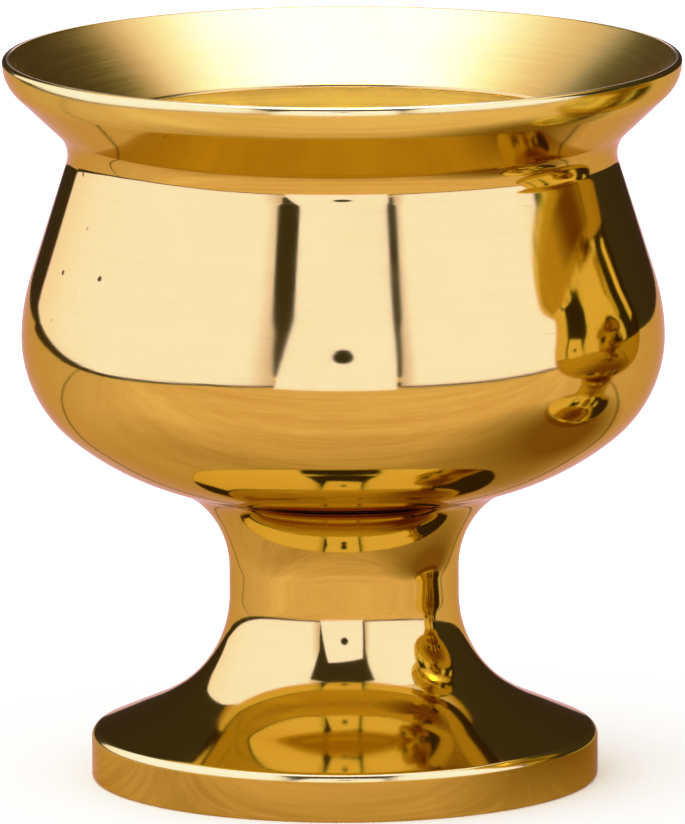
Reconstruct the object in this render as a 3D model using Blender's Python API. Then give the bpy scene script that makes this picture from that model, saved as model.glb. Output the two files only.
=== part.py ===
"""A small turned brass pedestal cup, in metres, +Z up, origin under the foot's centre.

The bowl and the pedestal are two turned pieces. A spigot under the bowl drops into the
pedestal, and a stud with a nut and washers, up inside the foot, pulls the two together.
"""
from math import cos, pi, radians, sin, tan

import bmesh
import bpy
from mathutils import Matrix

MM = 0.001
GAP = 0.3 * MM            # left between surfaces that touch on the real cup
SIDES = 48                # flats round a turned piece
SMALL_SIDES = 32          # flats round a fastener
ARC_STEP = radians(9.0)   # one edge of an arc in a turned outline
MERGE = 1e-7
QUARTER = pi / 2

# Pedestal, outside: a short straight stem, swept out to the foot and up to the bowl.
STEM_R = 7.14 * MM
STEM_LOW_Z = 11.46 * MM
STEM_TOP_Z = 13.15 * MM
STEM_SWEEP_R = 7.23 * MM      # arc from the stem towards the foot
STEM_SWEEP = radians(56.0)
FOOT_SWEEP_R = 11.84 * MM     # flatter arc that runs out over the foot
FOOT_SWEEP = radians(10.7)
FOOT_R = 15.76 * MM
SHOULDER_R = 0.5 * MM         # rounding over the foot's edge
COLLAR_SWEEP_R = 5.62 * MM    # arc from the stem up to the bowl
COLLAR_SWEEP = radians(72.0)
COLLAR_TOP_Z = 18.5 * MM

# Pedestal, inside: the hollow foot, a pocket for the fixing and a socket for the bowl.
FOOT_CHAMFER = 0.3 * MM
FOOT_RING_R = 13.4 * MM       # inner edge of the ring that the cup stands on
RECESS_R = 8.0 * MM
RECESS_Z = 3.4 * MM
POCKET_R = 5.6 * MM
POCKET_Z = 9.3 * MM
SOCKET_R = 5.3 * MM
SOCKET_Z = 14.7 * MM

# Bowl, outside: from the belly's widest ring down to the base, and up to the lip.
BELLY_R = 19.975 * MM
BELLY_Z = 27.734 * MM
UNDER_SWEEPS = ((7.77 * MM, radians(50.7)), (17.4 * MM, radians(22.5)))
OVER_SWEEPS = ((11.5 * MM, radians(10.0)), (16.06 * MM, radians(7.66)))
CONE_LENGTH = 7.07 * MM       # straight part above the belly, leaning in
NECK_R = 2.05 * MM            # hollow round the neck
FLARE = radians(43.5)         # the lip's underside rises by this much
FLARE_LENGTH = 3.85 * MM
LIP_SWEEP_R = 1.85 * MM
LIP_TOP_R = 0.6 * MM
BASE_Z = COLLAR_TOP_Z + GAP

# Bowl, inside: from the lip through the throat to the floor.
LIP_IN_R = 0.25 * MM
THROAT_R = 15.4 * MM
THROAT_TOP_Z = 41.05 * MM
WALL = 1.7 * MM
FLOOR_Z = 22.3 * MM
SPIGOT_R = SOCKET_R - GAP
SPIGOT_Z = SOCKET_Z + GAP

# Fixing, on the cup's axis: an M5 stud, a nut, a plain washer and a split spring washer.
STUD_R = 2.5 * MM
STUD_HOLE_R = STUD_R + GAP
STUD_HOLE_TOP_Z = 20.8 * MM
STUD_LOW_Z = 1.0 * MM
STUD_CHAMFER = 0.5 * MM
WASHER_R = 5.0 * MM
WASHER_THICK = 1.0 * MM
SPRING_R = 4.6 * MM
SPRING_THICK = 1.2 * MM
SPRING_SPLIT = 0.8 * MM
SPRING_SLANT = radians(25.0)
NUT_ACROSS_FLATS = 8.0 * MM
NUT_THICK = 4.0 * MM
NUT_CHAMFER = radians(30.0)

BRASS = (0.86, 0.62, 0.25)
ZINC = (0.62, 0.63, 0.64)


class Outline:
    """A pen that draws half of a turned section as (radius, height) points.

    Its heading is an angle counter-clockwise from straight outwards, so a quarter turn
    points up.
    """

    def __init__(self, r, z, heading=0.0):
        self.points = [(r, z)]
        self.heading = heading

    def to(self, r, z):
        """A straight line to a point."""
        self.points.append((r, z))
        return self

    def forward(self, length):
        """A straight line along the heading."""
        r, z = self.points[-1]
        return self.to(r + length * cos(self.heading), z + length * sin(self.heading))

    def forward_to_radius(self, radius):
        """A straight line along the heading, as far as a radius."""
        return self.forward((radius - self.points[-1][0]) / cos(self.heading))

    def arc(self, radius, turn):
        """An arc that leaves along the heading; a positive turn is to the left."""
        side = radius if turn > 0 else -radius
        r, z = self.points[-1]
        centre_r = r - side * sin(self.heading)
        centre_z = z + side * cos(self.heading)
        steps = max(2, round(abs(turn) / ARC_STEP))
        for step in range(1, steps + 1):
            heading = self.heading + turn * step / steps
            self.to(centre_r + side * sin(heading), centre_z - side * cos(heading))
        self.heading += turn
        return self


def metal(name, colour, roughness):
    material = bpy.data.materials.new(name)
    material.use_nodes = True
    shader = material.node_tree.nodes["Principled BSDF"]
    shader.inputs["Base Color"].default_value = (*colour, 1.0)
    shader.inputs["Roughness"].default_value = roughness
    shader.inputs["Metallic"].default_value = 1.0
    return material


def placed(name, mesh, material=None):
    """A named object, smooth apart from its sharp edges."""
    if material:
        mesh.materials.append(material)
    mesh.shade_smooth()
    mesh.set_sharp_from_angle(angle=radians(30.0))
    piece = bpy.data.objects.new(name, mesh)
    bpy.context.collection.objects.link(piece)
    return piece


def mesh_from(name, shape):
    bmesh.ops.remove_doubles(shape, verts=shape.verts, dist=MERGE)
    bmesh.ops.recalc_face_normals(shape, faces=shape.faces)
    mesh = bpy.data.meshes.new(name)
    shape.to_mesh(mesh)
    shape.free()
    return mesh


def turned(name, section, sides=SIDES):
    """The mesh of a closed section spun round +Z; points on the axis meet in one."""
    shape = bmesh.new()
    verts = [shape.verts.new((r, 0.0, z)) for r, z in section]
    edges = [shape.edges.new(pair) for pair in zip(verts, verts[1:] + verts[:1])]
    bmesh.ops.spin(
        shape, geom=verts + edges, cent=(0, 0, 0), axis=(0, 0, 1), angle=2 * pi, steps=sides
    )
    return mesh_from(name, shape)


def prism(name, sides, radius, low, high, turn=0.0):
    """The mesh of an upright prism on the axis."""
    shape = bmesh.new()
    place = Matrix.Translation((0, 0, (low + high) / 2)) @ Matrix.Rotation(turn, 4, "Z")
    bmesh.ops.create_cone(
        shape, cap_ends=True, segments=sides, radius1=radius, radius2=radius,
        depth=high - low, matrix=place,
    )
    return mesh_from(name, shape)


def shaped_by(piece, mesh, operation):
    """Cuts a piece with a hidden mesh, or keeps what the two share."""
    cutter = placed(mesh.name, mesh)
    cutter.hide_render = True
    cutter.display_type = "WIRE"
    boolean = piece.modifiers.new(mesh.name, "BOOLEAN")
    boolean.operation = operation
    boolean.object = cutter
    boolean.solver = "EXACT"


def pedestal(brass):
    """Foot and stem in one piece, bored through for the stud."""
    collar = Outline(STEM_R, STEM_TOP_Z, QUARTER).arc(COLLAR_SWEEP_R, -COLLAR_SWEEP)
    collar.to(collar.points[-1][0], COLLAR_TOP_Z)

    foot = Outline(STEM_R, STEM_LOW_Z, -QUARTER)
    foot.arc(STEM_SWEEP_R, STEM_SWEEP).arc(FOOT_SWEEP_R, FOOT_SWEEP)
    slope = -foot.heading
    foot.forward_to_radius(FOOT_R - SHOULDER_R * (1 - sin(slope)))
    foot.arc(SHOULDER_R, slope - QUARTER)
    foot.to(FOOT_R, FOOT_CHAMFER).to(FOOT_R - FOOT_CHAMFER, 0)

    inside = [
        (SOCKET_R, COLLAR_TOP_Z),
        (SOCKET_R, SOCKET_Z),
        (STUD_HOLE_R, SOCKET_Z),
        (STUD_HOLE_R, POCKET_Z),
        (POCKET_R, POCKET_Z),
        (POCKET_R, RECESS_Z),
        (RECESS_R, RECESS_Z),
        (FOOT_RING_R, 0),
    ]
    section = foot.points[::-1] + collar.points + inside
    return placed("pedestal", turned("pedestal", section), brass)


def belly(radius, sweeps, inset=0.0, up=True):
    """One half of the belly's side, as arcs from its widest ring, set in by an inset."""
    turn = 1 if up else -1
    side = Outline(radius - inset, BELLY_Z, turn * QUARTER)
    for sweep_r, sweep in sweeps:
        side.arc(sweep_r - inset, turn * sweep)
    return side


def bowl(brass):
    """The cup, with a flat floor, a thick base and the spigot under it."""
    under = belly(BELLY_R, UNDER_SWEEPS, up=False)
    under.to(under.points[-1][0], BASE_Z).to(SPIGOT_R, BASE_Z).to(SPIGOT_R, SPIGOT_Z)
    under.to(STUD_HOLE_R, SPIGOT_Z).to(STUD_HOLE_R, STUD_HOLE_TOP_Z).to(0, STUD_HOLE_TOP_Z)

    over = belly(BELLY_R, OVER_SWEEPS)
    over.forward(CONE_LENGTH).arc(NECK_R, FLARE - over.heading).forward(FLARE_LENGTH)
    over.arc(LIP_SWEEP_R, QUARTER - FLARE).arc(LIP_TOP_R, QUARTER)
    over.arc(LIP_IN_R, FLARE).to(THROAT_R, THROAT_TOP_Z)

    # The inside keeps the wall's thickness, then rounds in to the floor.
    corner = belly(BELLY_R, UNDER_SWEEPS[:1], WALL, up=False)
    left = -corner.heading - QUARTER
    corner.arc((corner.points[-1][1] - FLOOR_Z) / (1 - sin(left)), left - QUARTER)
    corner.to(0, FLOOR_Z)
    wall = belly(BELLY_R, OVER_SWEEPS, WALL)
    wall.forward_to_radius(THROAT_R)

    section = under.points[::-1] + over.points[1:] + wall.points[::-1] + corner.points[1:]
    return placed("bowl", turned("bowl", section), brass)


def stud(zinc):
    """A double-ended stud with chamfered ends; its thread is left as a plain cylinder."""
    top_z = STUD_HOLE_TOP_Z - GAP
    tip_r = STUD_R - STUD_CHAMFER
    section = [
        (0, STUD_LOW_Z),
        (tip_r, STUD_LOW_Z),
        (STUD_R, STUD_LOW_Z + STUD_CHAMFER),
        (STUD_R, top_z - STUD_CHAMFER),
        (tip_r, top_z),
        (0, top_z),
    ]
    return placed("stud", turned("stud", section, SMALL_SIDES), zinc)


def ring(name, outer_r, thick, top_z, zinc):
    """A flat ring round the stud, hanging down from a height."""
    section = [
        (STUD_HOLE_R, top_z - thick),
        (outer_r, top_z - thick),
        (outer_r, top_z),
        (STUD_HOLE_R, top_z),
    ]
    return placed(name, turned(name, section, SMALL_SIDES), zinc)


def spring_washer(top_z, zinc):
    """A spring washer pressed flat, with its slanted split towards the front."""
    washer = ring("spring_washer", SPRING_R, SPRING_THICK, top_z, zinc)
    split = bmesh.new()
    place = Matrix.Translation((0, -SPRING_R, top_z - SPRING_THICK / 2))
    slant = Matrix.Rotation(SPRING_SLANT, 4, "Y")
    size = Matrix.Diagonal((SPRING_SPLIT, SPRING_R * 2 - STUD_R, SPRING_THICK * 3, 1))
    bmesh.ops.create_cube(split, size=1, matrix=place @ slant @ size)
    shaped_by(washer, mesh_from("washer_split_cutter", split), "DIFFERENCE")
    return washer


def hex_nut(top_z, zinc):
    """A nut with its corners turned off at both ends."""
    low_z = top_z - NUT_THICK
    corner_r = NUT_ACROSS_FLATS / 2 / cos(pi / 6)
    nut = placed("hex_nut", prism("hex_nut", 6, corner_r, low_z, top_z), zinc)
    flat_r = NUT_ACROSS_FLATS / 2
    rim_r = corner_r + GAP
    rim_drop = (rim_r - flat_r) * tan(NUT_CHAMFER)
    margin = GAP
    section = [
        (0, low_z - margin),
        (flat_r - margin / tan(NUT_CHAMFER), low_z - margin),
        (rim_r, low_z + rim_drop),
        (rim_r, top_z - rim_drop),
        (flat_r - margin / tan(NUT_CHAMFER), top_z + margin),
        (0, top_z + margin),
    ]
    shaped_by(nut, turned("nut_corner_cutter", section, SMALL_SIDES), "INTERSECT")
    hole = prism("nut_hole_cutter", SMALL_SIDES, STUD_HOLE_R, low_z - margin, top_z + margin)
    shaped_by(nut, hole, "DIFFERENCE")
    return nut


def build():
    for old in list(bpy.data.objects):
        bpy.data.objects.remove(old, do_unlink=True)
    brass = metal("polished_brass", BRASS, 0.08)
    zinc = metal("zinc_steel", ZINC, 0.35)
    pedestal(brass)
    bowl(brass)
    stud(zinc)
    # The fixing is stacked down from the top of the pocket, with a gap above each piece.
    washer_top = POCKET_Z - GAP
    ring("flat_washer", WASHER_R, WASHER_THICK, washer_top, zinc)
    spring_top = washer_top - WASHER_THICK - GAP
    spring_washer(spring_top, zinc)
    hex_nut(spring_top - SPRING_THICK - GAP, zinc)


build()
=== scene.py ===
"""Looks for the small brass pedestal cup: fine turned surfaces, materials, light and camera.

Lengths are in metres, in the CAD model's frame: +Z up the cup's axis, the front towards -Y.
"""
from math import atan2, cos, pi, radians, sin, tan

import bmesh
import bpy
from mathutils import Matrix, Vector


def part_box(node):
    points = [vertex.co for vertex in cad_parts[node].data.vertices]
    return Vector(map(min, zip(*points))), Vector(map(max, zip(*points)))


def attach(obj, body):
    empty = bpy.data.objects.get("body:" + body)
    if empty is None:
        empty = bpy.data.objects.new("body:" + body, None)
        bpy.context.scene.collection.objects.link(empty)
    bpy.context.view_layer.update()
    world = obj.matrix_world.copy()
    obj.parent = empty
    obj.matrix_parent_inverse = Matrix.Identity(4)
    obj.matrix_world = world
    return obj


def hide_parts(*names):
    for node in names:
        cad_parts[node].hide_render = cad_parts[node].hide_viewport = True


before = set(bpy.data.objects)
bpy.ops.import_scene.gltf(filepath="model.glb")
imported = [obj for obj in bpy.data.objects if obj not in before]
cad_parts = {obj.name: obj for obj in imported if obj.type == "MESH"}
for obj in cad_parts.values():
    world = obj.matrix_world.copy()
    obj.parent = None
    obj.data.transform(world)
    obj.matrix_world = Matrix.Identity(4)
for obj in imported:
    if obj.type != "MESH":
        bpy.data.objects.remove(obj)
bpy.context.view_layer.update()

MM = 0.001
QUARTER = pi / 2
ROUND = 288               # facets round the cup
ARC_STEP = radians(1.5)

# The turned outline, from the foot up. It is the CAD model's, but the lip's roll and the
# foot's shoulder are shaped a few tenths of a millimetre closer to the real highlights.
STEM_R = 7.14 * MM
STEM_LOW_Z = 11.46 * MM
STEM_TOP_Z = 13.15 * MM
STEM_SWEEPS = ((7.23 * MM, radians(56.0)), (11.84 * MM, radians(10.7)))
FOOT_R = 15.76 * MM
SHOULDER_R = 0.62 * MM
COLLAR_SWEEP_R = 5.62 * MM
COLLAR_SWEEP = radians(72.0)
BELLY_R = 19.975 * MM
BELLY_Z = 27.734 * MM
UNDER_SWEEPS = ((7.77 * MM, radians(50.7)), (17.4 * MM, radians(22.5)))
OVER_SWEEPS = ((11.5 * MM, radians(10.0)), (16.06 * MM, radians(7.66)))
CONE_LENGTH = 7.07 * MM
NECK_R = 2.05 * MM
FLARE = radians(43.5)
FLARE_LENGTH = 3.55 * MM
LIP_SWEEP_R = 2.548 * MM
LIP_TOP_R = 0.3 * MM
LIP_IN_R = 0.25 * MM
THROAT_R = 15.4 * MM
THROAT_TOP_Z = 41.05 * MM
THROAT_EDGE_R = 0.35 * MM
WALL = 1.7 * MM
FLOOR_Z = 22.3 * MM
SEAM_EDGE = 0.015 * MM    # broken edge on both sides of the seam
SEAM_GAP = 0.004 * MM
FOOT_EDGE_R = 0.25 * MM

# Inside the foot, as in the CAD model.
FOOT_RING_R = 13.4 * MM
RECESS_R = 8.0 * MM
RECESS_Z = 3.4 * MM
POCKET_R = 5.6 * MM
POCKET_Z = 9.3 * MM
SPIGOT_R = 5.0 * MM
SPIGOT_Z = 15.0 * MM
BORE_R = 2.8 * MM
CLEARANCE = 0.3 * MM      # between the spigot and its socket
HOLE_END_Z = FLOOR_Z - 1.5 * MM     # end of the blind hole for the stud

nut_low, nut_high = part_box("hex_nut")
washer_low, washer_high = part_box("flat_washer")
spring_low, spring_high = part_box("spring_washer")
stud_low, stud_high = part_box("stud")


class Outline:
    """A pen that draws half of a turned section as (radius, height) points.

    Its heading is counter-clockwise from straight outwards. Each stretch keeps the
    finish that is set while it is drawn.
    """

    def __init__(self, r, z, heading=0.0, finish=0):
        self.points = [(r, z)]
        self.finishes = []
        self.heading = heading
        self.finish = finish

    @property
    def r(self):
        return self.points[-1][0]

    @property
    def z(self):
        return self.points[-1][1]

    def to(self, r, z, pieces=1):
        start_r, start_z = self.points[-1]
        for piece in range(1, pieces + 1):
            share = piece / pieces
            point = (start_r + (r - start_r) * share, start_z + (z - start_z) * share)
            self.points.append(point)
            self.finishes.append(self.finish)
        return self

    def forward(self, length, pieces=1):
        r = self.r + length * cos(self.heading)
        z = self.z + length * sin(self.heading)
        return self.to(r, z, pieces)

    def forward_to_radius(self, radius, pieces=1):
        return self.forward((radius - self.r) / cos(self.heading), pieces)

    def arc(self, radius, turn):
        """An arc on from the present heading, to the left where turn is above 0."""
        side = radius if turn > 0 else -radius
        centre_r = self.r - side * sin(self.heading)
        centre_z = self.z + side * cos(self.heading)
        steps = max(3, round(abs(turn) / ARC_STEP))
        for step in range(1, steps + 1):
            heading = self.heading + turn * step / steps
            self.to(centre_r + side * sin(heading), centre_z - side * cos(heading))
        self.heading += turn
        return self

    def corner(self, r, z, radius, next_r, next_z):
        """A straight line towards a corner at (r, z), rounded on the way to the next point."""
        here = Vector(self.points[-1])
        corner = Vector((r, z))
        beyond = Vector((next_r, next_z))
        back = (here - corner).normalized()
        on = (beyond - corner).normalized()
        half = back.angle(on) / 2
        reach = radius / tan(half)
        start = corner + back * reach
        self.to(*start)
        self.heading = atan2(-back.y, -back.x)
        cross = (-back.x) * on.y - (-back.y) * on.x
        turn = (pi - 2 * half) * (1 if cross > 0 else -1)
        return self.arc(radius, turn)

    def backwards(self):
        """The same stretch drawn from its other end."""
        other = Outline(*self.points[-1])
        other.points = self.points[::-1]
        other.finishes = self.finishes[::-1]
        return other

    def joined(self, other):
        """This outline followed by one that starts where it ends."""
        self.points += other.points[1:]
        self.finishes += other.finishes
        return self


def object_from(name, verts, faces, materials, finishes=None):
    """A smooth mesh object, each face with the material that its finish counts to."""
    mesh = bpy.data.meshes.new(name)
    mesh.from_pydata(verts, [], faces)
    for material in materials:
        mesh.materials.append(material)
    if finishes is not None:
        mesh.polygons.foreach_set("material_index", finishes)
    mesh.polygons.foreach_set("use_smooth", [True] * len(faces))
    mesh.update()
    piece = bpy.data.objects.new(name, mesh)
    bpy.context.scene.collection.objects.link(piece)
    return piece


def turned(name, outline, materials, sides=ROUND, closed=False):
    """Spins an outline round +Z into a smooth mesh, with one vertex for a point on the axis."""
    verts, rings = [], []
    points = outline.points[:-1] if closed else outline.points
    for r, z in points:
        if r < 1e-9:
            rings.append([len(verts)] * sides)
            verts.append((0.0, 0.0, z))
            continue
        start = len(verts)
        for side in range(sides):
            angle = 2 * pi * side / sides
            verts.append((r * cos(angle), r * sin(angle), z))
        rings.append(list(range(start, start + sides)))
    if closed:
        rings.append(rings[0])
    faces, finishes = [], []
    for finish, low, high in zip(outline.finishes, rings, rings[1:]):
        for side in range(sides):
            after = (side + 1) % sides
            corners = [low[side], low[after], high[after], high[side]]
            face = list(dict.fromkeys(corners))
            faces.append(face)
            finishes.append(finish)
    return object_from(name, verts, faces, materials, finishes)


def grid(name, rows, materials, closed_rows=False):
    """A mesh over rows of points. Each row closes on itself; open rows get flat ends."""
    count = len(rows[0])
    verts = [point for row in rows for point in row]
    pairs = list(zip(range(len(rows)), range(1, len(rows))))
    if closed_rows:
        pairs.append((len(rows) - 1, 0))
    faces = []
    for low, high in pairs:
        for here in range(count):
            after = (here + 1) % count
            faces.append((
                low * count + here, low * count + after,
                high * count + after, high * count + here,
            ))
    if not closed_rows:
        faces.append(tuple(range(count))[::-1])
        faces.append(tuple((len(rows) - 1) * count + here for here in range(count)))
    return object_from(name, verts, faces, materials)


# --- Materials ---------------------------------------------------------------------------


class Nodes:
    """A short way to write a material's nodes."""

    def __init__(self, name):
        self.material = bpy.data.materials.new(name)
        self.material.use_nodes = True
        self.tree = self.material.node_tree
        self.shader = self.tree.nodes["Principled BSDF"]

    def add(self, kind, **settings):
        node = self.tree.nodes.new(kind)
        for key, value in settings.items():
            setattr(node, key, value)
        return node

    def put(self, socket, value):
        """Links a socket to the input, or sets a plain value there."""
        if isinstance(value, bpy.types.NodeSocket):
            self.tree.links.new(value, socket)
        else:
            socket.default_value = value

    def math(self, operation, first, second=0.0):
        node = self.add("ShaderNodeMath", operation=operation)
        self.put(node.inputs[0], first)
        self.put(node.inputs[1], second)
        return node.outputs[0]

    def plus(self, first, second):
        return self.math("ADD", first, second)

    def minus(self, first, second):
        return self.math("SUBTRACT", first, second)

    def times(self, first, second):
        return self.math("MULTIPLY", first, second)

    def split(self, vector):
        """The three numbers of a vector."""
        node = self.add("ShaderNodeSeparateXYZ")
        self.put(node.inputs[0], vector)
        return node.outputs

    def vector(self, x, y, z):
        node = self.add("ShaderNodeCombineXYZ")
        for socket, value in zip(node.inputs, (x, y, z)):
            self.put(socket, value)
        return node.outputs[0]

    def noise(self, place, scale, detail=2.0, roughness=0.5, distortion=0.0):
        node = self.add("ShaderNodeTexNoise")
        self.put(node.inputs["Vector"], place)
        node.inputs["Scale"].default_value = scale
        node.inputs["Detail"].default_value = detail
        node.inputs["Roughness"].default_value = roughness
        node.inputs["Distortion"].default_value = distortion
        return node.outputs["Fac"]

    def ramp(self, value, low, high, out_low=0.0, out_high=1.0):
        """Maps low..high to out_low..out_high, held flat beyond both ends."""
        node = self.add("ShaderNodeMapRange")
        ends = {"From Min": low, "From Max": high, "To Min": out_low, "To Max": out_high}
        for key, number in ends.items():
            node.inputs[key].default_value = number
        self.put(node.inputs["Value"], value)
        return node.outputs["Result"]

    def mix(self, share, first, second):
        """A blend of two colours, which are the node's inputs 6 and 7."""
        node = self.add("ShaderNodeMix", data_type="RGBA")
        self.put(node.inputs[0], share)
        self.put(node.inputs[6], first)
        self.put(node.inputs[7], second)
        return node.outputs[2]

    def bump(self, height, distance, normal=None, sunk=False):
        node = self.add("ShaderNodeBump", invert=sunk)
        node.inputs["Distance"].default_value = distance
        self.put(node.inputs["Height"], height)
        if normal is not None:
            self.put(node.inputs["Normal"], normal)
        return node.outputs["Normal"]

    def set(self, **values):
        """Puts values into the shader's sockets, named with _ for a space."""
        for key, value in values.items():
            self.put(self.shader.inputs[key.replace("_", " ")], value)


TINY = 1e-5     # keeps a division on the axis from failing


def across(nodes, x, y, z):
    """Distance from the axis, whatever the height."""
    return nodes.math("SQRT", nodes.plus(nodes.times(x, x), nodes.times(y, y)))


def cup_coordinates(nodes):
    """Object-space point, radius, height, and the outward direction as two numbers."""
    point = nodes.add("ShaderNodeTexCoord").outputs["Object"]
    x, y, z = nodes.split(point)
    radius = across(nodes, x, y, z)
    safe = nodes.math("MAXIMUM", radius, TINY)
    return point, radius, z, nodes.math("DIVIDE", x, safe), nodes.math("DIVIDE", y, safe)


BRASS = (0.79, 0.65, 0.15, 1.0)
BRASS_WARM = (0.76, 0.60, 0.12, 1.0)
# The inside is also paler and yellower than the polished brass: painted light falling into the
# throat.
BRASS_BORED_LIT = (0.97, 0.88, 0.19, 1.0)    # inside, out of the polisher's reach
BRASS_EDGE = (0.87, 0.75, 0.50, 1.0)     # seen at a glancing angle
# Burnished edges, made paler still as a painted highlight along the lip and the foot's
# shoulder.
BRASS_BURNISHED_HIGHLIGHT = (0.82, 0.73, 0.18, 1.0)     # burnished edges
BRASS_NICK = (0.13, 0.095, 0.02, 1.0)    # the bottom of a nick or pit
ZINC = (0.60, 0.62, 0.64, 1.0)
ZINC_GOLD = (0.66, 0.61, 0.48, 1.0)
ZINC_GREY = (0.36, 0.37, 0.38, 1.0)
NICKS = ((-17.2, -7.8, 33.0), (-14.9, -11.5, 33.2))     # places on the belly, mm
NICK_R = 0.36 * MM
NICK_BOTTOM_R = 0.26 * MM


def ring_lines(nodes, coordinates, spacing, wander=0.35):
    """Noise drawn out round the cup, which varies along the section every spacing."""
    _, radius, z, east, north = coordinates
    along = nodes.times(nodes.plus(nodes.times(radius, 0.83), z), 1.0 / spacing)
    beside = nodes.times(nodes.minus(radius, z), 0.31 / spacing)
    place = nodes.vector(
        nodes.times(east, wander),
        nodes.plus(nodes.times(north, wander), beside),
        along,
    )
    return nodes.noise(place, 1.0, detail=3.0, roughness=0.6)


def scratches(nodes, coordinates, lean, width, wander, share):
    """Hairline marks that run partly round the cup, leaning across it, as a mask."""
    point, radius, z, east, north = coordinates
    slant = nodes.times(nodes.times(nodes.plus(east, north), radius), lean)
    up = nodes.times(nodes.plus(z, slant), 1.0 / width)
    place = nodes.vector(nodes.times(east, wander), nodes.times(north, wander), up)
    fine = nodes.noise(place, 1.0, detail=0.0)
    patches = nodes.noise(point, 170.0, detail=1.0)
    return nodes.times(nodes.ramp(fine, share, share + 0.04), nodes.ramp(patches, 0.56, 0.64))


def dents(nodes, point):
    """Fine pits in a few places, and the nicks, as a mask."""
    pits = nodes.add("ShaderNodeTexVoronoi", feature="F1")
    nodes.put(pits.inputs["Vector"], point)
    pits.inputs["Scale"].default_value = 420.0
    dent = nodes.ramp(pits.outputs["Distance"], 0.035, 0.075, 1.0, 0.0)
    dent = nodes.times(dent, nodes.ramp(nodes.noise(point, 90.0), 0.60, 0.66))
    for nick in NICKS:
        away = nodes.add("ShaderNodeVectorMath", operation="DISTANCE")
        nodes.put(away.inputs[0], point)
        away.inputs[1].default_value = [value * MM for value in nick]
        ragged = nodes.times(nodes.noise(point, 2600.0), 0.3 * MM)
        reach = nodes.plus(away.outputs["Value"], ragged)
        hollow = nodes.ramp(reach, NICK_BOTTOM_R, NICK_R, 1.0, 0.0)
        dent = nodes.math("MAXIMUM", dent, hollow)
    return dent


def polished_brass(name, gloss_range=(0.055, 0.10), line_depth=0.0007 * MM, colour=BRASS):
    """Buffed brass: soft unevenness, faint ring lines, hairline scratches and small pits."""
    nodes = Nodes(name)
    coordinates = cup_coordinates(nodes)
    point = coordinates[0]
    lines = ring_lines(nodes, coordinates, 0.16 * MM)
    swell = nodes.noise(point, 130.0, detail=1.5, roughness=0.4)
    haze = nodes.noise(point, 210.0, detail=4.0, roughness=0.6, distortion=0.6)
    marks = scratches(nodes, coordinates, lean=0.10, width=0.06 * MM, wander=3.0, share=0.80)
    dent = dents(nodes, point)
    streaks = nodes.plus(
        nodes.ramp(haze, 0.35, 0.75, 0.0, 0.2),
        nodes.ramp(lines, 0.3, 0.8, 0.0, 0.3),
    )
    tone = nodes.mix(streaks, colour, BRASS_WARM)
    tone = nodes.mix(nodes.times(dent, 0.9), tone, BRASS_NICK)
    gloss = nodes.ramp(haze, 0.3, 0.75, *gloss_range)
    gloss = nodes.plus(gloss, nodes.times(nodes.math("MAXIMUM", marks, dent), 0.10))
    cut = nodes.math("MAXIMUM", nodes.times(marks, 0.2), dent)
    normal = nodes.bump(swell, 0.012 * MM)
    normal = nodes.bump(lines, line_depth, normal=normal)
    normal = nodes.bump(cut, 0.003 * MM, normal=normal, sunk=True)
    nodes.set(Base_Color=tone, Metallic=1.0, Roughness=gloss, Normal=normal)
    nodes.shader.inputs["Specular Tint"].default_value = BRASS_EDGE
    return nodes.material


def brushed_brass(name, roughness, line, depth, colour=BRASS, anisotropy=0.6):
    """Brass left as the lathe or a brush left it, with rings round the axis."""
    nodes = Nodes(name)
    coordinates = cup_coordinates(nodes)
    point = coordinates[0]
    fine = ring_lines(nodes, coordinates, line, wander=0.8)
    broad = ring_lines(nodes, coordinates, line * 5, wander=0.25)
    haze = nodes.noise(point, 160.0, detail=3.0)
    streaks = nodes.ramp(nodes.times(broad, haze), 0.18, 0.42, 0.0, 0.5)
    tone = nodes.mix(streaks, colour, BRASS_WARM)
    rough = nodes.plus(fine, nodes.times(haze, 0.5))
    gloss = nodes.ramp(rough, 0.4, 1.0, roughness * 0.8, roughness * 1.25)
    normal = nodes.bump(broad, depth * 2)
    normal = nodes.bump(fine, depth, normal=normal)
    tangent = nodes.add("ShaderNodeTangent", direction_type="RADIAL", axis="Z")
    nodes.set(
        Base_Color=tone, Metallic=1.0, Roughness=gloss, Normal=normal,
        Anisotropic=anisotropy, Tangent=tangent.outputs[0],
    )
    nodes.shader.inputs["Specular Tint"].default_value = BRASS_EDGE
    return nodes.material


def zinc_steel(name):
    """Bright zinc plate: blue-grey, a little cloudy, with a passivated gold cast in places."""
    nodes = Nodes(name)
    point = nodes.add("ShaderNodeTexCoord").outputs["Object"]
    cloud = nodes.noise(point, 700.0, detail=4.0, roughness=0.65)
    film = nodes.noise(point, 260.0, detail=2.0)
    tone = nodes.mix(nodes.ramp(film, 0.42, 0.68), ZINC, ZINC_GOLD)
    tone = nodes.mix(nodes.ramp(cloud, 0.55, 0.8, 0.0, 0.6), tone, ZINC_GREY)
    gloss = nodes.ramp(cloud, 0.3, 0.8, 0.24, 0.46)
    normal = nodes.bump(cloud, 0.004 * MM)
    nodes.set(Base_Color=tone, Metallic=1.0, Roughness=gloss, Normal=normal)
    return nodes.material


mirror = polished_brass("mirror_brass")
# The lip's paler brass: burnished edge wear and a painted highlight.
lip = polished_brass("lip_brass", (0.13, 0.18), 0.001 * MM, BRASS_BURNISHED_HIGHLIGHT)
brushed = brushed_brass("brushed_brass", 0.22, 0.09 * MM, 0.0012 * MM)
# Rough bored finish inside; its paler colour is painted light in the throat.
bored = brushed_brass("bored_brass_lit", 0.58, 0.14 * MM, 0.0012 * MM, BRASS_BORED_LIT, anisotropy=0.0)
faced = brushed_brass("faced_brass", 0.34, 0.12 * MM, 0.003 * MM, BRASS_WARM, anisotropy=0.4)
zinc = zinc_steel("bright_zinc")
MIRROR, BRUSHED, BORED, LIP = range(4)     # finishes, in the order of a piece's materials


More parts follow.
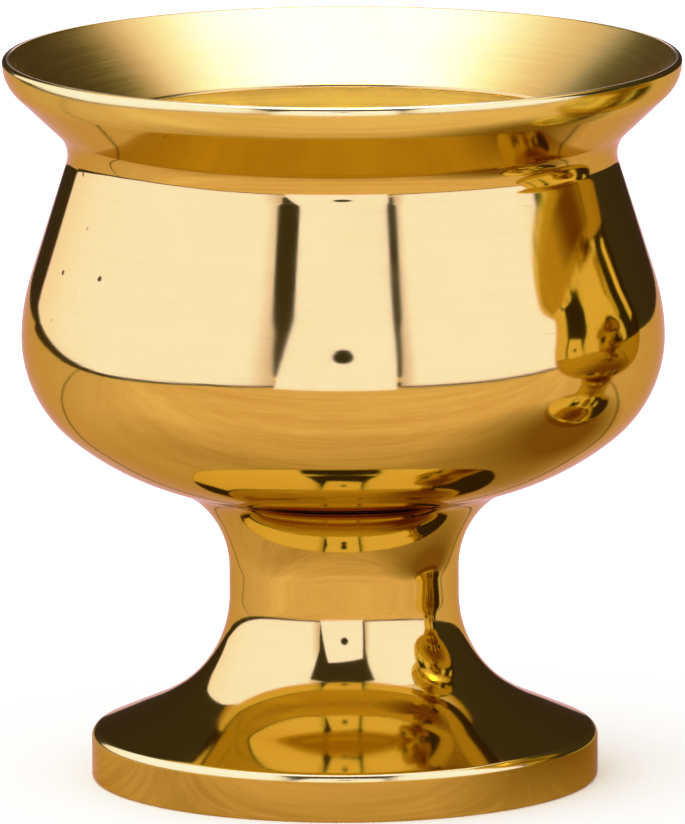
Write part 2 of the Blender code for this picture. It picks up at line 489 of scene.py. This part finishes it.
# --- The cup -----------------------------------------------------------------------------


def belly(sweeps, inset=0.0, up=True, finish=MIRROR):
    """The belly's section from its widest point up or down, inset for the inner wall."""
    turn = 1 if up else -1
    side = Outline(BELLY_R - inset, BELLY_Z, turn * QUARTER, finish)
    for sweep_r, sweep in sweeps:
        side.arc(sweep_r - inset, turn * sweep)
    return side


def seam():
    """The two outlines that meet under the belly, and the middle of what is between them."""
    under = belly(UNDER_SWEEPS, up=False)
    collar = Outline(STEM_R, STEM_TOP_Z, QUARTER)
    collar.arc(COLLAR_SWEEP_R, -COLLAR_SWEEP)
    return under, collar, (collar.r + under.r) / 2, (collar.z + under.z) / 2


def make_bowl():
    under, _, seam_r, seam_z = seam()
    seam_z += SEAM_GAP / 2
    under.to(seam_r + 2 * SEAM_EDGE, seam_z + SEAM_EDGE, pieces=8)
    under.to(seam_r, seam_z, pieces=3)
    under.finish = BRUSHED
    under.to(SPIGOT_R, seam_z).to(SPIGOT_R, SPIGOT_Z).to(BORE_R, SPIGOT_Z)
    under.to(BORE_R, HOLE_END_Z).to(0, HOLE_END_Z)

    over = belly(OVER_SWEEPS)
    over.forward(CONE_LENGTH, pieces=24).arc(NECK_R, FLARE - over.heading)
    over.forward(FLARE_LENGTH, pieces=12)
    over.finish = LIP
    over.arc(LIP_SWEEP_R, QUARTER - FLARE).arc(LIP_TOP_R, QUARTER).arc(LIP_IN_R, FLARE)
    over.finish = BRUSHED
    over.corner(THROAT_R, THROAT_TOP_Z, THROAT_EDGE_R, THROAT_R, FLOOR_Z)
    over.finish = BORED

    wall = belly(OVER_SWEEPS, WALL, finish=BORED)
    wall.forward_to_radius(THROAT_R, pieces=16)
    corner = belly(UNDER_SWEEPS[:1], WALL, up=False, finish=BORED)
    swept = -corner.heading - QUARTER
    corner.arc((corner.z - FLOOR_Z) / (1 - sin(swept)), swept - QUARTER)
    corner.to(0, FLOOR_Z, pieces=24)

    outside = under.backwards().joined(over)
    outside.finish = BORED
    outside.to(wall.r, wall.z, pieces=8)
    outside.joined(wall.backwards()).joined(corner)
    return turned("bowl_shell", outside, [mirror, brushed, bored, lip])


def make_pedestal():
    _, collar, seam_r, seam_z = seam()
    seam_z -= SEAM_GAP / 2
    socket_r = SPIGOT_R + CLEARANCE
    socket_z = SPIGOT_Z - CLEARANCE
    collar.to(seam_r - SEAM_EDGE, seam_z - SEAM_EDGE / 2, pieces=8).to(seam_r, seam_z, pieces=3)
    collar.finish = BRUSHED
    collar.to(socket_r, seam_z)

    foot = Outline(STEM_R, STEM_LOW_Z, -QUARTER)
    for sweep_r, sweep in STEM_SWEEPS:
        foot.arc(sweep_r, sweep)
    slope = -foot.heading
    foot.forward_to_radius(FOOT_R - SHOULDER_R * (1 - sin(slope)), pieces=12)
    # The shoulder takes the lip's paler brass as a painted highlight.
    foot.finish = LIP
    foot.arc(SHOULDER_R, slope - QUARTER)
    foot.finish = MIRROR
    foot.to(FOOT_R, FOOT_EDGE_R, pieces=8)
    foot.arc(FOOT_EDGE_R, -QUARTER)
    foot.finish = BRUSHED
    foot.to(FOOT_RING_R, 0, pieces=8).to(RECESS_R, RECESS_Z, pieces=16)
    foot.to(POCKET_R, RECESS_Z, pieces=6).to(POCKET_R, POCKET_Z, pieces=6)
    foot.to(BORE_R, POCKET_Z).to(BORE_R, socket_z).to(socket_r, socket_z)
    foot.to(collar.r, collar.z)

    section = foot.backwards()
    section.to(STEM_R, STEM_TOP_Z, pieces=6)
    section.joined(collar)
    return turned("pedestal_body", section, [mirror, faced, faced, lip], closed=True)


# --- The fixing --------------------------------------------------------------------------

THREAD_PITCH = 0.8 * MM
THREAD_DEPTH = 0.43 * MM
THREAD_SIDES = 60
THREAD_ROWS = 14          # rows of points to one pitch
STUD_CHAMFER = 0.5 * MM
STUD_INSET = 0.02 * MM    # keeps the crests just inside the CAD stud
FLAT_EDGE = 0.12 * MM     # broken edges of the washers
SPRING_EDGE = 0.1 * MM
SPRING_SPLIT = 0.85 * MM
SPRING_STEPS = 120
NUT_BORE_R = 2.56 * MM
NUT_SINK = 0.45 * MM
NUT_SIDES = 144
NUT_SHARES = (0.0, 0.2, 0.4, 0.6, 0.8, 1.0)     # from the round face out to the corners


def make_stud():
    """A threaded stud, its crests rounded a little and its ends run out to a chamfer."""
    major = stud_high.x - STUD_INSET
    low, high = stud_low.z, stud_high.z
    count = round((high - low) / THREAD_PITCH * THREAD_ROWS)
    rows = []
    for row in range(count + 1):
        z = low + (high - low) * row / count
        limit = major - STUD_CHAMFER + min(z - low, high - z, STUD_CHAMFER)
        ring = []
        for side in range(THREAD_SIDES):
            angle = 2 * pi * side / THREAD_SIDES
            phase = (z / THREAD_PITCH - side / THREAD_SIDES) % 1.0
            tooth = min(1.0, max(0.0, abs(phase - 0.5) * 2 * 1.35 - 0.15))
            r = min(limit, major - THREAD_DEPTH * tooth)
            ring.append((r * cos(angle), r * sin(angle), z))
        rows.append(ring)
    return grid("stud_threaded", rows, [zinc])


def rounded_ring(inner, outer, low, high, edge):
    """The closed section of a washer, with its edges broken."""
    section = Outline(outer - edge, low, 0.0)
    section.arc(edge, QUARTER).to(outer, high - edge, pieces=2).arc(edge, QUARTER)
    section.to(inner + edge, high, pieces=6).arc(edge, QUARTER)
    section.to(inner, low + edge, pieces=2).arc(edge, QUARTER)
    section.to(outer - edge, low, pieces=6)
    return section


def make_flat_washer():
    section = rounded_ring(BORE_R, washer_high.x, washer_low.z, washer_high.z, FLAT_EDGE)
    return turned("flat_washer_disc", section, [zinc], sides=96, closed=True)


def make_spring_washer():
    """A split washer. Its two ends lean the same way, and face each other at the front."""
    outer, low, high = spring_high.x, spring_low.z, spring_high.z
    section = rounded_ring(BORE_R, outer, low, high, SPRING_EDGE).points[:-1]
    middle = (low + high) / 2
    slant = tan(radians(25))
    rows = []
    for step in range(SPRING_STEPS + 1):
        row = []
        for r, z in section:
            lean = slant * (z - middle) / r
            start = -QUARTER + SPRING_SPLIT / 2 / r + lean
            end = -QUARTER + 2 * pi - SPRING_SPLIT / 2 / r + lean
            angle = start + (end - start) * step / SPRING_STEPS
            row.append((r * cos(angle), r * sin(angle), z))
        rows.append(row)
    return grid("spring_washer_split", rows, [zinc])


def make_nut():
    """A hexagon nut, its corners turned down to a cone and its hole countersunk."""
    flat_r = min(nut_high.x, nut_high.y)
    low, high = nut_low.z, nut_high.z
    face_r = flat_r * 0.97
    cone = tan(radians(30))
    turn = radians(30) if nut_high.x < nut_high.y else 0.0
    rows = []
    for side in range(NUT_SIDES):
        angle = 2 * pi * side / NUT_SIDES
        off = (angle - turn) % (pi / 3) - pi / 6
        rise = flat_r / cos(off) * 0.999 - face_r
        lower = [(NUT_BORE_R, low + NUT_SINK), (NUT_BORE_R + NUT_SINK, low)]
        lower += [(face_r + rise * share, low + cone * rise * share) for share in NUT_SHARES]
        column = lower + [(r, low + high - z) for r, z in reversed(lower)]
        rows.append([(r * cos(angle), r * sin(angle), z) for r, z in column])
    return grid("hex_nut_chamfered", rows, [zinc], closed_rows=True)


# --- Putting the cup together ------------------------------------------------------------

bowl = make_bowl()
pedestal = make_pedestal()
PARTS = (
    (bowl, "bowl", "bowl_brass"),
    (pedestal, "pedestal", "pedestal_brass"),
    (make_stud(), "stud", "zinc_steel"),
    (make_flat_washer(), "flat_washer", "zinc_steel"),
    (make_spring_washer(), "spring_washer", "zinc_steel"),
    (make_nut(), "hex_nut", "zinc_steel"),
)
for piece, node, slot in PARTS:
    shape = bmesh.new()
    shape.from_mesh(piece.data)
    bmesh.ops.recalc_face_normals(shape, faces=shape.faces)
    shape.to_mesh(piece.data)
    shape.free()
    piece.data.set_sharp_from_angle(angle=radians(32))
    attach(piece, "root")
    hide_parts(node)


# --- Stage -------------------------------------------------------------------------------

# The brass mirrors pale boards with two slits between them, a ceiling, a table, a camera's
# lens and a second cup. Places without a unit are in mm.

PANEL = (1.22, 1.225, 3.95)
PANEL_HIGH = (1.5, 1.5, 5.0)
PANEL_EDGE = (0.95, 0.90, 2.3)      # the boards beside the slits
# Painted shade: dark strips under the side boards and behind the slits.
SHADE = (0.14, 0.11, 0.12, 1.0)
LENS_DARK = (0.12, 0.11, 0.14, 1.0)
NEAR_LIGHT = (1.0, 0.95, 1.9, 1.0)
SLIT_LEFT, SLIT_RIGHT = -80, 66     # how far the slits are to the sides
RIGHT_FALL = 1.4                    # the right board brightens faster

# The side boards stand a little off the table. Each row runs from the front to the back,
# and the front edge leans away with height.
LEFT_ROWS = (
    [(-76.5, -178, 3), (-125, -112, 3), (-142, 0, 4),
     (-165, 70, 7), (-182, 130, 11), (-187, 238, 21)],
    [(-80, -178, 95), (-130, -110, 95), (-146, 0, 95),
     (-168, 70, 95), (-184, 130, 95), (-188, 252, 95)],
    [(-96, -166, 160), (-132, -108, 160), (-148, 0, 160),
     (-170, 70, 160), (-186, 130, 160), (-190, 246, 160)],
    [(-130, -136, 300), (-140, -104, 300), (-152, 0, 300),
     (-172, 70, 290), (-188, 130, 275), (-194, 205, 262)],
)
RIGHT_ROWS = (
    [(62.5, -178, 3), (108, -148, 3), (290, -20, 3)],
    [(65, -176, 95), (108, -148, 95), (290, -20, 95)],
    [(76, -168, 155), (112, -145, 155), (290, -20, 155)],
    [(116, -140, 300), (130, -130, 300), (290, -20, 300)],
)

# Brightest over the cup, bluer further out, then warm, and dark at the rim.
CEILING = (
    (30, (16.0, 16.0, 6.5)),
    (55, (2.0, 2.1, 7.0)),
    (110, (1.4, 1.45, 5.8)),
    (150, (1.20, 1.20, 4.2)),
    (185, (1.12, 1.14, 3.2)),
    (240, (0.99, 0.92, 1.75)),
    (275, (0.80, 0.62, 0.50)),
    (300, (0.72, 0.45, 0.12)),
    (308, (0.14, 0.122, 0.16)),
)

EYE = Vector((0, -1000, 197.6)) * MM
LENS_SEEN_FROM = Vector((0, -19.8, 29.6)) * MM     # where the belly mirrors the lens
LENS_AWAY = 134 * MM
LENS_R = 9 * MM

TABLE_Z = -0.02           # just under the floor
TABLE_REACH = 600
# The table glows by itself, its light and shade painted in: the first pair below is a painted
# shadow of the cup close to it, the second the lit wood further out, the next painted light
# further behind, and the one after a painted shadow between the two cups.
OAK_IN_CUP_SHADOW = (0.84, 0.64, 0.66, 1.0), (0.68, 0.47, 0.42, 1.0)     # lighter and darker grain
OAK_LIT = (1.01, 0.87, 1.16, 1.0), (0.90, 0.70, 0.80, 1.0)
OAK_LIT_BEHIND = (0.86, 0.69, 0.90, 1.0)
OAK_TWIN_SHADOW = (0.42, 0.24, 0.10, 1.0)
OAK_JOINT = (0.10, 0.05, 0.02, 1.0)
TWIN_X, TWIN_Y = 54.5 * MM, -1.5 * MM
# Centre of the painted shadow between the two cups.
TWIN_SHADE_X = 38 * MM
JOINT_Y = 29 * MM
JOINT_SLOPE = 0.06


def emitting(nodes, colour, sampled=True):
    """Turns a material into a flat light of this colour."""
    tree = nodes.tree
    tree.nodes.remove(nodes.shader)
    emission = nodes.add("ShaderNodeEmission")
    nodes.put(emission.inputs["Color"], colour)
    tree.links.new(emission.outputs[0], tree.nodes["Material Output"].inputs["Surface"])
    if not sampled:
        nodes.material.cycles.emission_sampling = "NONE"
    return nodes.material


def glow(name, colour):
    """A flat colour that needs no light on it."""
    return emitting(Nodes(name), colour, sampled=False)


def toned_glow(name, measure, stops):
    """Light whose colour goes through stops of (distance in mm, colour), by a measure."""
    nodes = Nodes(name)
    x, y, z = nodes.split(nodes.add("ShaderNodeTexCoord").outputs["Object"])
    amount = measure(nodes, x, y, z)
    colour = stops[0][1] + (1.0,)
    for (low, _), (high, tone) in zip(stops, stops[1:]):
        colour = nodes.mix(nodes.ramp(amount, low * MM, high * MM), colour, tone + (1.0,))
    return emitting(nodes, colour)


def height(nodes, x, y, z):
    return z


def from_slits(nodes, x, y, z):
    """How far a point is, across, from the slits on both sides of the middle card."""
    left = nodes.minus(SLIT_LEFT * MM, x)
    right = nodes.times(nodes.minus(x, SLIT_RIGHT * MM), RIGHT_FALL)
    return nodes.math("MAXIMUM", nodes.math("MAXIMUM", left, right), 0.0)


def table_material():
    """Light oak, seen only in the brass, that glows by itself: grain along X, a painted shadow
    of the cup close to it and another between the two cups, painted light further behind, and a
    joint between two boards behind it."""
    nodes = Nodes("table_oak")
    point = nodes.add("ShaderNodeTexCoord").outputs["Object"]
    mapping = nodes.add("ShaderNodeMapping")
    mapping.inputs["Scale"].default_value = (0.07, 1.0, 1.0)
    nodes.put(mapping.inputs["Vector"], point)
    along = mapping.outputs[0]
    broad = nodes.noise(along, 70.0, detail=2.0, roughness=0.5, distortion=0.7)
    fine = nodes.noise(along, 900.0, detail=3.0, roughness=0.6, distortion=0.3)
    grain = nodes.ramp(nodes.plus(broad, fine), 0.82, 1.18)
    x, y, _ = nodes.split(point)
    away = across(nodes, nodes.times(x, 0.76), nodes.times(y, 1.1), 0.0)
    twin_away = across(nodes, nodes.minus(x, TWIN_SHADE_X), y, 0.0)
    # Painted light: the wood turns paler behind the cup.
    behind = nodes.times(nodes.ramp(y, -0.03, 0.02), 0.8)
    off_joint = nodes.minus(nodes.plus(y, nodes.times(x, JOINT_SLOPE)), JOINT_Y)
    joint = nodes.ramp(nodes.math("ABSOLUTE", off_joint), 0.0004, 0.0011, 0.75, 0.0)
    # Painted shadow of the cup: darker wood in an oval round it, lit wood further out.
    wood = nodes.mix(
        nodes.ramp(away, 0.022, 0.042),
        nodes.mix(grain, *OAK_IN_CUP_SHADOW),
        nodes.mix(grain, *OAK_LIT),
    )
    wood = nodes.mix(behind, wood, OAK_LIT_BEHIND)
    # Painted shadow between the cup and its twin.
    wood = nodes.mix(nodes.ramp(twin_away, 0.012, 0.035, 1.0, 0.0), wood, OAK_TWIN_SHADOW)
    wood = nodes.mix(joint, wood, OAK_JOINT)
    return emitting(nodes, wood, sampled=False)


def only_reflected(piece):
    """Something that the brass mirrors but that isn't in the picture itself."""
    piece.visible_camera = False
    piece.visible_diffuse = False
    piece.visible_shadow = False
    piece.visible_transmission = False
    return piece


def strip(name, low, high, material):
    """A sheet between two rows of points in mm, with as many points in each."""
    verts = [tuple(value * MM for value in point) for point in low + high]
    count = len(low)
    faces = [(at, at + 1, count + at + 1, count + at) for at in range(count - 1)]
    return only_reflected(object_from(name, verts, faces, [material]))


card_white = toned_glow(
    "card_white", height, ((0, PANEL), (150, PANEL), (260, PANEL_HIGH)),
)
card_side = toned_glow("card_side", from_slits, ((0, PANEL_EDGE), (16, PANEL)))
strip(
    "card_front",
    [(-69.4, -160, 0), (51.7, -160, 0)],
    [(-47, -160, 131), (52.5, -160, 114)],
    card_white,
)
for side_name, board in (("card_left", LEFT_ROWS), ("card_right", RIGHT_ROWS)):
    for number, (low, high) in enumerate(zip(board, board[1:])):
        strip(f"{side_name}_{number}", low, high, card_side)
# Painted shade under the side boards, where they stand off the table.
for name, base in (("shade_left", LEFT_ROWS[0]), ("shade_right", RIGHT_ROWS[0])):
    strip(name, [(x, y, 0) for x, y, _ in base], base, glow(name, SHADE))
strip(
    "card_top",
    [(-350, -185, 300), (380, -185, 300)],
    [(-350, 350, 300), (380, 350, 300)],
    toned_glow("card_top_white", across, CEILING),
)
# Painted shade behind the slits.
strip(
    "shade_slits",
    [(-95, -190, 0), (80, -190, 0)],
    [(-95, -190, 9), (80, -190, 9)],
    glow("shade_slits", SHADE),
)
strip(
    "card_near",
    [(-60, 75, 106), (-38, 92, 102)],
    [(-60, 75, 140), (-38, 92, 130)],
    glow("card_near", NEAR_LIGHT),
)
strip(
    "card_back",
    [(-55, 330, 110), (55, 330, 110)],
    [(-55, 330, 290), (55, 330, 290)],
    card_white,
)

towards_eye = (EYE - LENS_SEEN_FROM).normalized()
lens_turn = towards_eye.to_track_quat("Z", "Y").to_matrix().to_4x4()
lens_shape = bmesh.new()
bmesh.ops.create_circle(lens_shape, cap_ends=True, segments=32, radius=LENS_R)
lens_place = Matrix.Translation(LENS_SEEN_FROM + towards_eye * LENS_AWAY)
lens_shape.transform(lens_place @ lens_turn)
lens_mesh = bpy.data.meshes.new("lens_disc")
lens_shape.to_mesh(lens_mesh)
lens_shape.free()
lens_mesh.materials.append(glow("lens_dark", LENS_DARK))
lens = bpy.data.objects.new("lens_disc", lens_mesh)
bpy.context.scene.collection.objects.link(lens)
only_reflected(lens)

strip(
    "table_reflected",
    [(-TABLE_REACH, -TABLE_REACH, TABLE_Z), (TABLE_REACH, -TABLE_REACH, TABLE_Z)],
    [(-TABLE_REACH, 330, TABLE_Z), (TABLE_REACH, 330, TABLE_Z)],
    table_material(),
)

# A twin of the cup stands close to it on the right.
for original in (bowl, pedestal):
    twin = bpy.data.objects.new("twin_" + original.name, original.data)
    bpy.context.scene.collection.objects.link(twin)
    twin.matrix_world = Matrix.Translation((TWIN_X, TWIN_Y, 0))
    only_reflected(twin)

# --- Floor, light and tones --------------------------------------------------------------

FLOOR_REACH = 6.0
FLOOR_LIGHT = (0.93, 0.93, 0.93, 1.0)
FLOOR_DARK = (0.90, 0.90, 0.90, 1.0)
ROOM_SEEN = (1.25, 1.25, 1.25, 1.0)            # what the camera and the floor see
ROOM_MIRRORED = (0.140, 0.122, 0.160, 1.0)     # what the brass sees past the boards
KEY_PLACE = Vector((-0.15, -0.1, 0.6))
KEY_AIM = Vector((0, 0, 0.02))
KEY_SIZE = (0.5, 0.4)
KEY_POWER = 0.6

floor_nodes = Nodes("floor_pale")
floor_point = floor_nodes.add("ShaderNodeTexCoord").outputs["Object"]
floor_tone = floor_nodes.noise(floor_point, 9.0, detail=2.0)
floor_nodes.set(
    Base_Color=floor_nodes.mix(floor_tone, FLOOR_LIGHT, FLOOR_DARK),
    Roughness=0.9,
)
floor_nodes.shader.inputs["Specular IOR Level"].default_value = 0.0
floor_corners = [
    (x * FLOOR_REACH, y * FLOOR_REACH, 0) for x, y in ((-1, -1), (1, -1), (1, 1), (-1, 1))
]
floor = object_from("floor", floor_corners, [(0, 1, 2, 3)], [floor_nodes.material])
floor.visible_glossy = False
floor.visible_shadow = False

scene = bpy.context.scene
world = bpy.data.worlds.new("studio")
scene.world = world
world.use_nodes = True
links = world.node_tree.links
path = world.node_tree.nodes.new("ShaderNodeLightPath")
room = world.node_tree.nodes.new("ShaderNodeMix")
room.data_type = "RGBA"
room.inputs[6].default_value = ROOM_SEEN
room.inputs[7].default_value = ROOM_MIRRORED
links.new(path.outputs["Is Glossy Ray"], room.inputs[0])
links.new(room.outputs[2], world.node_tree.nodes["Background"].inputs["Color"])
world.cycles.sampling_method = "NONE"

key = bpy.data.lights.new("key_light", "AREA")
key.shape = "RECTANGLE"
key.size, key.size_y = KEY_SIZE
key.energy = KEY_POWER
key_light = bpy.data.objects.new("key_light", key)
key_light.location = KEY_PLACE
key_light.rotation_euler = (KEY_AIM - KEY_PLACE).to_track_quat("-Z", "Y").to_euler()
key_light.visible_glossy = False
key_light.visible_camera = False
scene.collection.objects.link(key_light)

# A print's tones: deep shadows and a soft shoulder, up to white at FILM_WHITE.
FILM_WHITE = 1.2
FILM = (
    (0.05, 0.012), (0.1, 0.035), (0.2, 0.10), (0.3, 0.17), (0.4, 0.25), (0.5, 0.345),
    (0.6, 0.47), (0.7, 0.62), (0.8, 0.79), (0.9, 0.91), (1.0, 0.975), (1.1, 0.995),
)
view = scene.view_settings
view.view_transform = "Standard"
view.use_curve_mapping = True
view.curve_mapping.white_level = (FILM_WHITE,) * 3
film = view.curve_mapping.curves[3]
for light, shown in FILM:
    film.points.new(light / FILM_WHITE, shown)
view.curve_mapping.update()

# --- Camera ------------------------------------------------------------------------------

AIM = Vector((-0.06, 0, 22.87)) * MM
FOCAL_LENGTH = 713.98     # mm, long enough to fill the frame from a metre away
ROLL = radians(-0.23)     # the camera's slight tilt to one side

camera_data = bpy.data.cameras.new("camera")
camera_data.sensor_width = 36.0
camera_data.lens = FOCAL_LENGTH
camera_data.clip_start, camera_data.clip_end = 0.05, 20.0
camera = bpy.data.objects.new("camera", camera_data)
camera.location = EYE
look = (AIM - EYE).to_track_quat("-Z", "Y").to_matrix().to_4x4()
camera.rotation_euler = (look @ Matrix.Rotation(ROLL, 4, "Z")).to_euler()
scene.collection.objects.link(camera)
scene.camera = camera
